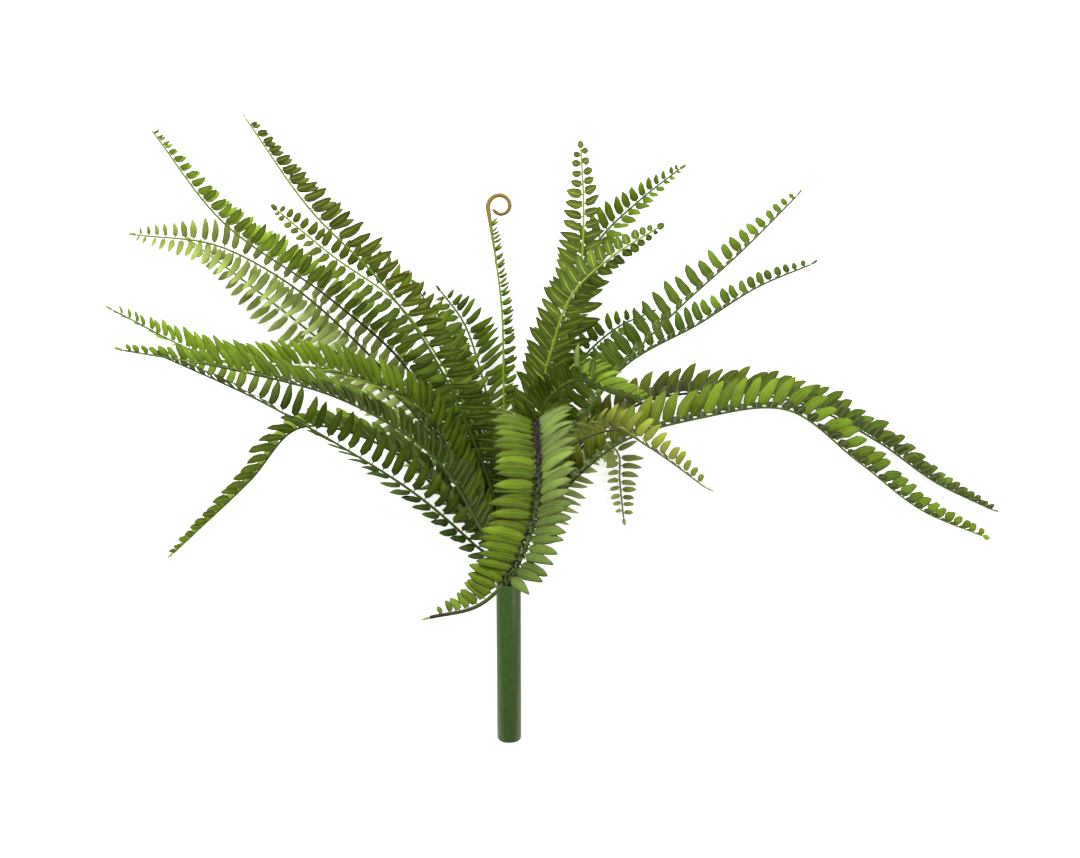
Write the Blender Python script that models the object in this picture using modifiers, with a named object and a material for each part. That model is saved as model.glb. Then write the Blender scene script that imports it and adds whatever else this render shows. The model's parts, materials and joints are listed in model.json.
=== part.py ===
"""A bushy artificial fern on one plain stem, with no pot, lying on its side on a table.

Every frond is a round stalk that stands in the cup at the top of the stem, and a folded blade of leaflets
that runs along the upper side of that stalk. The stem's cut end and the fronds marked rests touch the table.
Blender units are metres, +Z is up, -Y is where the stem points, and the origin is on the table, below the
middle of the bush.
"""

import math

import bmesh
import bpy
from mathutils import Vector

MM = 0.001

# Gap kept between two pieces that touch in the real bush
CLEARANCE = 0.3 * MM

# Stalks
STALK_RADIUS = 1.05 * MM
STALK_TIP_RADIUS = 0.5 * MM
STALK_RISE = 10 * MM
BARE_STALK = 72 * MM
STATION_STEP = 15 * MM

# Leaflet blades: two rows folded up from the stalk, cut into teeth
LEAFLET_LENGTH = 32 * MM
TIP_LEAFLET = 5 * MM
TIP_TAPER = 135 * MM
BASE_TAPER = 70 * MM
BASE_SHARE = 0.4
NOTCH_SHARE = 0.35
LEAFLET_SWEEP = 0.25
BLADE_THICKNESS = 0.8 * MM
FOLD = math.radians(42)

# Stem: a round peg with a cup in its top
STEM_LENGTH = 132 * MM
STEM_CHAMFER = 1.5 * MM
CUP_WALL = 1.55 * MM
CUP_DEPTH = 14 * MM
STEM_SIDES = 32

# How the bush lies: the height of the cup's mouth above the table
CROWN_HEIGHT = 52 * MM

# Reach of the longest frond, and the reach that the routes below are drawn for
FROND_REACH = 445 * MM
DRAWN_REACH = 445 * MM

# The young frond's curled end
CURL_RADIUS = 9.3 * MM
CURL_END_SHARE = 0.6
CURL_TURNS = 0.94
CURL_THICKNESS = 1.5 * MM
CURL_POINTS = 14

# Places for stalks in the cup: how many stand in each ring, and the inner ring's radius in stalk pitches
RING_PLACES = (3, 10, 16)
INNER_RING = 0.65

# Each frond: its route from the mouth of the cup in millimetres (x to the right, y away from the stem,
# z up from the table), the roll of its blade in degrees at even shares of its length, the size of its
# leaflets, and whether it rests on the table.
FRONDS = {
    "top_left": dict(
        route=[(-27, 116, 66), (-58, 180, 102), (-92, 226, 120), (-138, 273, 127), (-184, 338, 130)],
        roll=(-20, -20),
    ),
    "long_left": dict(
        route=[(-39, 90, 11), (-80, 168, 16), (-132, 214, 21), (-216, 275, 30), (-264, 339, 44)],
        roll=(30, 30),
    ),
    "back_left_upper": dict(
        route=[(-52, 109, -24), (-112, 181, -25), (-173, 233, -20), (-222, 258, -15), (-283, 266, -13)],
        roll=(-35, -35),
    ),
    "back_left_lower": dict(
        route=[(-60, 97, -42), (-99, 147, -50), (-145, 185, -51), (-192, 222, -50), (-245, 262, -50)],
        roll=(-40, -40),
        size=0.85,
        rests=True,
    ),
    "inner_left": dict(
        route=[(-21, 109, 25), (-50, 168, 33), (-83, 212, 37), (-131, 247, 42), (-171, 280, 46)],
        roll=(-30, -30),
        size=0.92,
        bare=95,
    ),
    "front_left_upper": dict(
        route=[(-27, 65, 42), (-62, 131, 70), (-119, 158, 80), (-213, 169, 79), (-286, 204, 83)],
        roll=(-60, -60),
    ),
    "front_left_lower": dict(
        route=[(-20, 47, 58), (-54, 101, 115), (-115, 139, 146), (-183, 158, 158), (-266, 173, 160)],
        roll=(-10, -10, -25, -60, -65),
    ),
    "low_left": dict(
        route=[(-24, 31, 18), (-64, 67, 36), (-122, 105, 46), (-181, 138, 44), (-263, 175, 34)],
        roll=(-95, 10),
    ),
    "hooked_left": dict(
        route=[(-36, 53, 8), (-81, 98, 14), (-156, 118, 8), (-196, 78, -16), (-260, 20, -42)],
        roll=(0, 0),
        rests=True,
    ),
    "fiddlehead": dict(
        route=[(-3, 87, 22), (-3, 149, 34), (-5, 212, 34), (-11, 257, 30), (-15, 283, 28)],
        roll=(65, 65),
        bare=130,
        size=0.6,
        curl=True,
    ),
    "upright_right": dict(
        route=[(13, 94, 25), (39, 179, 34), (54, 240, 34), (56, 287, 30), (54, 328, 26)],
        roll=(-125, -125),
    ),
    "back_upright": dict(
        route=[(16, 101, -26), (39, 193, -46), (70, 265, -50), (101, 295, -48), (132, 319, -46)],
        roll=(5, 5),
        rests=True,
    ),
    "front_upright": dict(
        route=[(17, 102, 57), (30, 174, 88), (47, 217, 95), (74, 242, 94), (107, 263, 90)],
        roll=(-35, -35),
    ),
    "upper_right": dict(
        route=[(31, 87, 30), (75, 154, 55), (126, 207, 65), (169, 246, 67), (211, 288, 68)],
        roll=(20, 20),
    ),
    "mid_right": dict(
        route=[(35, 83, 6), (84, 164, 12), (143, 198, 10), (188, 226, 10), (226, 242, 10)],
        roll=(-5, -5),
        size=0.9,
    ),
    "front_short": dict(
        route=[(17, 87, 66), (32, 141, 115), (52, 152, 148), (75, 142, 174), (95, 138, 196)],
        roll=(5, 5),
        bare=110,
    ),
    "arching_right": dict(
        route=[(31, 62, 50), (82, 108, 59), (140, 126, 63), (204, 132, 60), (258, 94, 46), (312, 55, 26), (356, 37, 16)],
        roll=(55, 55),
    ),
    "back_arching_right": dict(
        route=[(39, 86, -12), (100, 137, -18), (160, 145, -20), (221, 137, -22), (283, 107, -28), (330, 75, -36), (374, 54, -42)],
        roll=(-20, -20),
        rests=True,
    ),
    "front_right_short": dict(
        route=[(28, 80, 64), (52, 109, 109), (80, 116, 128), (101, 104, 134), (140, 76, 131)],
        roll=(10, 10),
        bare=110,
    ),
    "back_hanging": dict(
        route=[(28, 63, -28), (66, 109, -44), (83, 97, -50), (84, 78, -50), (87, 47, -50)],
        roll=(35, 75),
        bare=95,
        rests=True,
    ),
    "front_hanging": dict(
        route=[(8, 66, 75), (17, 109, 125), (20, 123, 155), (22, 103, 185), (21, 69, 200), (7, 24, 206), (-18, -2, 200), (-52, -11, 192)],
        roll=(0, 0, 0, 0, 10, 75),
        bare=150,
    ),
    "back_short_left": dict(
        route=[(-9, 101, -24), (-22, 162, -40), (-36, 201, -45), (-53, 224, -47)],
        roll=(-15, -15),
    ),
    "back_short_right": dict(
        route=[(24, 116, -8), (54, 169, -14), (85, 196, -16), (107, 206, -18)],
        roll=(25, 25),
        size=0.75,
    ),
    "inner_back": dict(
        route=[(-14, 94, -2), (-30, 154, -10), (-52, 196, -16), (-71, 226, -20)],
        roll=(-35, -35),
        size=0.92,
    ),
    "inner_front_left": dict(
        route=[(-20, 50, 23), (-49, 102, 42), (-82, 142, 48), (-115, 159, 48)],
        roll=(-20, -20),
        size=0.65,
    ),
}

# Worked out from the sizes above
STALK_PITCH = 2 * STALK_RADIUS + CLEARANCE + 0.05 * MM
RING_RADII = [STALK_PITCH * (INNER_RING + ring) for ring in range(len(RING_PLACES))]
CUP_RADIUS = RING_RADII[-1] + STALK_RADIUS + CLEARANCE
STEM_RADIUS = CUP_RADIUS + CUP_WALL
REACH_SCALE = FROND_REACH / DRAWN_REACH


def stem_tilt():
    """The angle that brings the lower rim of the stem's cut end down to the table."""
    along = STEM_LENGTH - STEM_CHAMFER
    return math.asin(CROWN_HEIGHT / math.hypot(along, STEM_RADIUS)) - math.atan2(STEM_RADIUS, along)


TILT = stem_tilt()
STEM_AXIS = Vector((0, math.cos(TILT), math.sin(TILT)))
ACROSS = Vector((1, 0, 0))
OVER = ACROSS.cross(STEM_AXIS)


def clear_scene():
    for obj in list(bpy.data.objects):
        bpy.data.objects.remove(obj)


def principled(name, colour, roughness):
    material = bpy.data.materials.new(name)
    material.use_nodes = True
    shader = material.node_tree.nodes["Principled BSDF"]
    shader.inputs["Base Color"].default_value = (*colour, 1)
    shader.inputs["Roughness"].default_value = roughness
    shader.inputs["Metallic"].default_value = 0
    return material


def route_points(frond):
    return [Vector(point) * MM * REACH_SCALE for point in frond["route"]]


def heading(frond):
    """The direction round the stem's axis in which the frond leaves, and how far it leans from the axis."""
    first = route_points(frond)[0]
    outward = first - STEM_AXIS * first.dot(STEM_AXIS)
    return math.atan2(outward.dot(OVER), outward.dot(ACROSS)), first.angle(STEM_AXIS)


def cup_places():
    """Deals the fronds to the rings of the cup, upright ones inside, and each ring's in order round the axis."""
    upright_first = sorted(FRONDS, key=lambda name: heading(FRONDS[name])[1])
    inner_count = RING_PLACES[0]
    middle_count = inner_count + RING_PLACES[1]
    rings = [
        upright_first[:inner_count],
        upright_first[inner_count:middle_count],
        upright_first[middle_count:],
    ]
    places = {}
    for radius, names in zip(RING_RADII, rings):
        names = sorted(names, key=lambda name: heading(FRONDS[name])[0])
        step = 2 * math.pi / len(names)
        turns = [heading(FRONDS[name])[0] - step * k for k, name in enumerate(names)]
        offset = math.atan2(sum(map(math.sin, turns)), sum(map(math.cos, turns)))
        for k, name in enumerate(names):
            angle = offset + step * k
            places[name] = (ACROSS * math.cos(angle) + OVER * math.sin(angle)) * radius
    return places


def smooth_route(points, first_direction):
    """A dense smooth line through the points that sets off in first_direction."""
    gaps = [(b - a).length for a, b in zip(points, points[1:])]
    slopes = [first_direction.normalized()]
    for k in range(1, len(points) - 1):
        before = (points[k] - points[k - 1]) / gaps[k - 1]
        after = (points[k + 1] - points[k]) / gaps[k]
        slopes.append((before * gaps[k] + after * gaps[k - 1]) / (gaps[k - 1] + gaps[k]))
    slopes.append((points[-1] - points[-2]) / gaps[-1])
    line = []
    steps = 24
    for k, gap in enumerate(gaps):
        for step in range(steps):
            t = step / steps
            line.append(
                points[k] * (2 * t**3 - 3 * t**2 + 1)
                + slopes[k] * gap * (t**3 - 2 * t**2 + t)
                + points[k + 1] * (3 * t**2 - 2 * t**3)
                + slopes[k + 1] * gap * (t**3 - t**2)
            )
    return line + [points[-1]]


def even_points(line, spacing):
    """Points at even distances along a dense line, and the distance of each from its start."""
    travelled = [0.0]
    for a, b in zip(line, line[1:]):
        travelled.append(travelled[-1] + (b - a).length)
    count = max(4, round(travelled[-1] / spacing))
    points, distances = [], []
    k = 0
    for station in range(count + 1):
        wanted = travelled[-1] * station / count
        while k < len(line) - 2 and travelled[k + 1] < wanted:
            k += 1
        share = (wanted - travelled[k]) / (travelled[k + 1] - travelled[k])
        points.append(line[k].lerp(line[k + 1], min(share, 1.0)))
        distances.append(wanted)
    return points, distances


def directions(points):
    """The unit direction of a line of points at each of them."""
    ends = [points[0]] + points + [points[-1]]
    return [(ends[k + 2] - ends[k]).normalized() for k in range(len(points))]


def between(values, share):
    """The value at a share of the way through a row of evenly spread values."""
    place = min(max(share, 0), 0.9999) * (len(values) - 1)
    k = int(place)
    return values[k] + (values[k + 1] - values[k]) * (place - k)


def blade_frames(points, outward, roll):
    """For each point: the direction along the stalk, across the blade, and out of its upper side."""
    along = directions(points)
    across = STEM_AXIS.cross(outward)
    frames = []
    for k, forward in enumerate(along):
        across = (across - forward * across.dot(forward)).normalized()
        angle = math.radians(between(roll, k / (len(along) - 1)))
        up = forward.cross(across)
        side = across * math.cos(angle) + up * math.sin(angle)
        frames.append((forward, side, forward.cross(side)))
    return frames


def bare_length(frond):
    return frond["bare"] * MM * REACH_SCALE if "bare" in frond else BARE_STALK


def leaflet_reach(frond, distance, whole):
    """How far a leaflet at this distance along the frond reaches from the stalk, as a share of the full length."""
    to_tip = whole - distance
    tip = TIP_LEAFLET / LEAFLET_LENGTH
    near_tip = tip + (1 - tip) * math.sin(min(1.0, to_tip / TIP_TAPER) * math.pi / 2)
    near_base = min(1.0, BASE_SHARE + (1 - BASE_SHARE) * (distance - bare_length(frond)) / BASE_TAPER)
    return min(near_tip, near_base)


def stalk_radius(distance, whole):
    return STALK_RADIUS + (STALK_TIP_RADIUS - STALK_RADIUS) * distance / whole


def blade_point(frond, points, distances, frames, station, side, layer):
    """One corner of the blade: side is -1, 0 or 1 across it, layer 0 its underside and 1 its upper side."""
    forward, across, up = frames[station]
    root = stalk_radius(distances[station], distances[-1]) + CLEARANCE
    point = points[station] + up * (root / math.cos(FOLD) + layer * BLADE_THICKNESS)
    if side:
        reach = LEAFLET_LENGTH * frond.get("size", 1) * leaflet_reach(frond, distances[station], distances[-1])
        is_tip = station % 2 == (side > 0)
        reach *= 1 if is_tip else NOTCH_SHARE
        point += (across * side * math.cos(FOLD) + up * math.sin(FOLD)) * reach
        point += forward * (LEAFLET_SWEEP * reach if is_tip else 0)
    return point


def frond_lines(frond, place, sag):
    """The stalk's stations and blade frames with the frond bent down by sag at its tip."""
    exit_point = place + STEM_AXIS * STALK_RISE
    points = [exit_point] + [place * 0.5 + point for point in route_points(frond)]
    line = smooth_route(points, STEM_AXIS)
    whole = len(line) - 1
    line = [point - Vector((0, 0, sag)) * (k / whole) ** 2 for k, point in enumerate(line)]
    stations, distances = even_points(line, STATION_STEP)
    first = points[1] - exit_point
    outward = (first - STEM_AXIS * first.dot(STEM_AXIS)).normalized()
    return stations, distances, blade_frames(stations, outward, frond["roll"])


def blade_stations(frond, distances):
    """The stations that the blade covers: past the bare stalk, and short of a curl."""
    first = next(k for k, distance in enumerate(distances) if distance >= bare_length(frond))
    return range(first, len(distances) - (2 if frond.get("curl") else 0))


def lowest_point(frond, stations, distances, frames):
    """The lowest height that the frond's blade and stalk reach."""
    stalk = min(
        point.z - stalk_radius(distance, distances[-1]) for point, distance in zip(stations, distances)
    )
    blade = min(
        blade_point(frond, stations, distances, frames, station, side, layer).z
        for station in blade_stations(frond, distances)
        for side in (-1, 0, 1)
        for layer in (0, 1)
    )
    return min(stalk, blade)


def settled(frond, place):
    """The frond's lines, bent until it lies on the table if it is one that rests there or would reach below it."""
    if not frond.get("rests") and lowest_point(frond, *frond_lines(frond, place, 0)) >= -CROWN_HEIGHT:
        return frond_lines(frond, place, 0)
    low, high = -80 * MM, 80 * MM
    for _ in range(30):
        sag = (low + high) / 2
        if lowest_point(frond, *frond_lines(frond, place, sag)) > -CROWN_HEIGHT:
            low = sag
        else:
            high = sag
    return frond_lines(frond, place, low)


def curled_end(stations, frames):
    """Points of the young frond's curl, which winds in from the last station towards its leafy side."""
    forward, across, inward = frames[-1]
    centre = stations[-1] + inward * CURL_RADIUS
    turn = []
    for k in range(1, CURL_POINTS + 1):
        share = k / CURL_POINTS
        angle = share * CURL_TURNS * 2 * math.pi
        radius = CURL_RADIUS * (1 + (CURL_END_SHARE - 1) * share)
        turn.append(centre - inward * radius * math.cos(angle) + forward * radius * math.sin(angle))
    return turn


def make_stalk(name, stations, distances, place, curl, material, bush):
    """A tapered round stalk from the cup's floor to the tip."""
    foot = place - STEM_AXIS * (CUP_DEPTH - CLEARANCE)
    radii = [stalk_radius(distance, distances[-1]) for distance in distances]
    points = [foot] + stations + curl
    if curl:
        radii = [max(radius, CURL_THICKNESS * k / len(radii)) if k > len(radii) - 3 else radius
                 for k, radius in enumerate(radii)]
        radii += [CURL_THICKNESS * (1 - 0.35 * k / len(curl)) for k in range(len(curl))]
    radii = [STALK_RADIUS] + radii
    data = bpy.data.curves.new(name, "CURVE")
    data.dimensions = "3D"
    data.bevel_depth = 1.0
    data.bevel_resolution = 1
    data.use_fill_caps = True
    spline = data.splines.new("POLY")
    spline.points.add(len(points) - 1)
    for knot, point, radius in zip(spline.points, points, radii):
        knot.co = (*point, 1)
        knot.radius = radius
    data.materials.append(material)
    stalk = bpy.data.objects.new(name, data)
    bush.objects.link(stalk)
    return stalk


def make_blade(name, frond, stations, distances, frames, material, bush):
    """The folded, toothed blade of leaflets along the upper side of the stalk."""
    covered = blade_stations(frond, distances)
    rows = len(covered) - 1
    grid = bmesh.new()
    bmesh.ops.create_grid(grid, x_segments=2, y_segments=rows, size=1)
    for vert in grid.verts:
        vert.co.y = round((vert.co.y + 1) / 2 * rows)
    grown = bmesh.ops.extrude_face_region(grid, geom=grid.faces[:], use_keep_orig=True)
    for vert in grown["geom"]:
        if isinstance(vert, bmesh.types.BMVert):
            vert.co.z = 1
    bmesh.ops.recalc_face_normals(grid, faces=grid.faces[:])
    for vert in grid.verts:
        side, station, layer = round(vert.co.x), covered[round(vert.co.y)], round(vert.co.z)
        vert.co = blade_point(frond, stations, distances, frames, station, side, layer)
    bmesh.ops.reverse_faces(grid, faces=grid.faces[:])
    mesh = bpy.data.meshes.new(name)
    grid.to_mesh(mesh)
    grid.free()
    mesh.materials.append(material)
    blade = bpy.data.objects.new(name, mesh)
    bush.objects.link(blade)
    return blade


def make_stem(material, bush):
    """The turned stem: down its outer side, across its cut end, and up the inside of the cup."""
    profile = [
        (CUP_RADIUS, 0),
        (STEM_RADIUS, 0),
        (STEM_RADIUS, STEM_CHAMFER - STEM_LENGTH),
        (STEM_RADIUS - STEM_CHAMFER, -STEM_LENGTH),
        (0, -STEM_LENGTH),
        (0, -CUP_DEPTH),
        (CUP_RADIUS, -CUP_DEPTH),
    ]
    mesh = bpy.data.meshes.new("stem")
    outline = bmesh.new()
    corners = [outline.verts.new((radius, 0, height)) for radius, height in profile]
    outline.edges.new((corners[-1], corners[0]))
    for a, b in zip(corners, corners[1:]):
        if (a.co.x, b.co.x) != (0, 0):
            outline.edges.new((a, b))
    outline.to_mesh(mesh)
    outline.free()
    mesh.materials.append(material)
    stem = bpy.data.objects.new("stem", mesh)
    bush.objects.link(stem)
    turn = stem.modifiers.new("turn", "SCREW")
    turn.steps = STEM_SIDES
    turn.render_steps = STEM_SIDES
    turn.use_smooth_shade = True
    turn.use_merge_vertices = True
    turn.merge_threshold = 0.01 * MM
    stem.rotation_euler.x = TILT - math.pi / 2
    return stem


def place_on_table(parts):
    """Hangs every part on one empty, with the table at z 0 and the middle of the bush over the origin."""
    bpy.context.view_layer.update()
    graph = bpy.context.evaluated_depsgraph_get()
    corners = [
        part.matrix_world @ Vector(corner) for part in parts for corner in part.evaluated_get(graph).bound_box
    ]
    middle = [(min(c[k] for c in corners) + max(c[k] for c in corners)) / 2 for k in range(2)]
    resting_place = bpy.data.objects.new("resting_place", None)
    bpy.context.scene.collection.objects.link(resting_place)
    resting_place.location = (-middle[0], -middle[1], CROWN_HEIGHT)
    for part in parts:
        part.parent = resting_place


def main():
    clear_scene()
    bush = bpy.data.collections.new("fern_bush")
    bpy.context.scene.collection.children.link(bush)
    stem_green = principled("stem_green", (0.035, 0.13, 0.035), 0.45)
    stalk_green = principled("stalk_green", (0.1, 0.2, 0.03), 0.5)
    leaf_green = principled("leaf_green", (0.06, 0.15, 0.02), 0.5)
    parts = [make_stem(stem_green, bush)]
    places = cup_places()
    for name, frond in FRONDS.items():
        stations, distances, frames = settled(frond, places[name])
        curl = curled_end(stations, frames) if frond.get("curl") else []
        parts.append(
            make_stalk(f"{name}_stalk", stations, distances, places[name], curl, stalk_green, bush)
        )
        parts.append(make_blade(f"{name}_leaflets", frond, stations, distances, frames, leaf_green, bush))
    place_on_table(parts)


main()
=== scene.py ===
"""Looks of an artificial fern bush that lies on its side on a pale table.

Every frond gets a fine stalk and two rows of separate leaflets, along the route that its plain solids take.
Metres, +Z up from the table, -Y where the stem points.
"""

import json
import math
import random

import bmesh
import bpy
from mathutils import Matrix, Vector

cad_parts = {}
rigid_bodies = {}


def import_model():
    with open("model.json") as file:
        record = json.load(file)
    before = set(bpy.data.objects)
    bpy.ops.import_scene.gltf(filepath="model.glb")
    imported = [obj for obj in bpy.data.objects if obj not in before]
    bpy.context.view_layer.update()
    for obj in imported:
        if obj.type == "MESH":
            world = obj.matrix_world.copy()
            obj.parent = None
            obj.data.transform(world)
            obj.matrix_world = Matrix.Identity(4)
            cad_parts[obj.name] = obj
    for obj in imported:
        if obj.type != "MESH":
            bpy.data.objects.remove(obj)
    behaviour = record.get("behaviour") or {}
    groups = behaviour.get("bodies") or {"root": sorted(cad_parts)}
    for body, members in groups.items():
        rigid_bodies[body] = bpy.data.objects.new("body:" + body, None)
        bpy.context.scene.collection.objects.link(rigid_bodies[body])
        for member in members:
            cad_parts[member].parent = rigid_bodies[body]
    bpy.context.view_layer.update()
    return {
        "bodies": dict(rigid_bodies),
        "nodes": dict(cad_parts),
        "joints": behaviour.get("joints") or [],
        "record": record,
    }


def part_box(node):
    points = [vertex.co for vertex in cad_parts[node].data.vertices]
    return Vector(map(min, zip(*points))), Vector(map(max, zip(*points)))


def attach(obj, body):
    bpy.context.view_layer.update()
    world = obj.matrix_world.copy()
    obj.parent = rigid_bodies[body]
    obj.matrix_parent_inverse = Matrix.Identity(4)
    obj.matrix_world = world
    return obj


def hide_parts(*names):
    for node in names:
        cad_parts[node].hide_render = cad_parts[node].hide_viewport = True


MM = 0.001

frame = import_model()

# Stalks
STALK_RADIUS = 1.2 * MM
STALK_TIP_RADIUS = 0.68 * MM
STALK_RISE = 10 * MM
STALK_STEP = 4 * MM
STALK_PITCH = 2.45 * MM
RING_PLACES = (3, 10, 16)
INNER_RING = 0.65
STALK_FOOT = 13.7 * MM

# Leaflets
TIP_LEAFLET = 5 * MM
BASE_TAPER = 60 * MM
BASE_SHARE = 0.7
SPARSE_TIP = 100 * MM
RIGHT_ROW_LAG = 1.8 * MM
BARE_TIP = 2 * MM
BARE_BELOW_CURL = 8 * MM
STRAY_FOLD = 80

# Leaflets, where a frond doesn't say otherwise in the table below: plain millimetres and degrees, as there
FIRST_LEAFLET = 26
GROWTH = 0.2
LONGEST = 26.5
PITCH = 8.8
TIP_PITCH = 6.2
SWEEP = 8
FOLD = 42

# The young frond's curled end
CURL_RADIUS = 9.3 * MM
CURL_END_SHARE = 0.6
CURL_TURNS = 0.94
CURL_THICKNESS = 1.8 * MM
CURL_POINTS = 44

# Scales on the stout stalk and on the curl
SCALES_PER_STEP = 8
SCALE_SIZE = 2.8 * MM
CURL_SCALE_SIZE = 1.4 * MM

# Colours, linear: leaves first, then stalks, then the stem
LIME = (0.235, 0.36, 0.018)
FRESH = (0.145, 0.235, 0.010)
MID = (0.075, 0.128, 0.006)
DEEP = (0.028, 0.054, 0.004)
PALE = (0.33, 0.41, 0.07)
MIST = (0.40, 0.49, 0.15)
OLIVE = (0.112, 0.125, 0.009)
STRAW = (0.25, 0.27, 0.028)
# Painted sheen: a pale grey-green that stands in for light glancing off the hanging frond's right row; the
# loose leaflets use it too
PAINTED_SHEEN = (0.125, 0.190, 0.042)
MOSS = (0.078, 0.130, 0.005)
BLUISH = (0.045, 0.09, 0.022)
PLUM = (0.075, 0.065, 0.035)
EDGE_BROWN = (0.055, 0.03, 0.022)
UNDERSIDE = (0.095, 0.125, 0.012)
RIB_PALE = (0.35, 0.45, 0.08)
STALK_LIME = (0.20, 0.29, 0.02)
STALK_GREEN = (0.07, 0.125, 0.012)
STALK_BROWN = (0.035, 0.02, 0.011)
STALK_PLUM = (0.065, 0.034, 0.03)
STALK_PALE = (0.22, 0.27, 0.11)
STALK_BARK = (0.016, 0.009, 0.006)
STALK_RIPE = (0.225, 0.155, 0.026)
CURL_SCALES = (0.15, 0.095, 0.018)
ALL_GREEN = (STALK_GREEN, STALK_GREEN)
STEM_GREEN = (0.050, 0.118, 0.014)
STEM_SHADED = (0.040, 0.080, 0.012)
STEM_STREAK = (0.036, 0.070, 0.012)

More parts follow.
